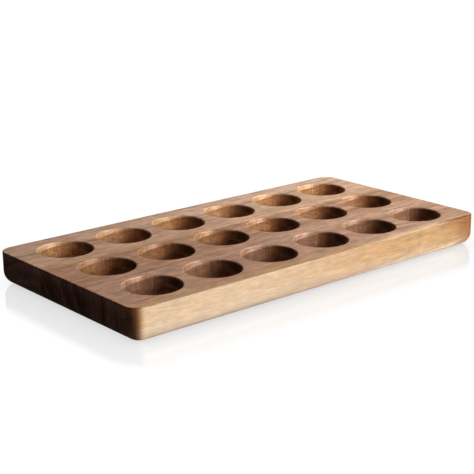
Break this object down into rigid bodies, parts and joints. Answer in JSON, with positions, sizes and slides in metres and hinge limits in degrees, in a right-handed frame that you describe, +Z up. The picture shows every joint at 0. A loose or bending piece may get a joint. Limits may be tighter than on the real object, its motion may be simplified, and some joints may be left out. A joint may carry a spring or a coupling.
{
  "type": "egg holder tray",
  "caption": "Flat rectangular solid wood board with three rows of round blind cups that each stand one egg, and a rounded underside edge.",
  "frame": {"origin": "centre of the flat bottom face, on the surface that the tray stands on", "axes": "+X along the board's length and its grain, +Y across the board towards the rear long side, +Z up out of the cups"},
  "size_m": [0.311, 0.158, 0.023],
  "materials": {
    "wood_front": "sanded and oiled, satin",
    "wood_middle": "sanded and oiled, satin",
    "wood_rear": "sanded and oiled, satin",
    "glue": "cured wood glue, dull"
  },
  "bodies": {
    "root": {"stave_front": "wood_front", "glue_line_front": "glue", "stave_middle": "wood_middle", "glue_line_rear": "glue", "stave_rear": "wood_rear"}
  },
  "joints": []
}
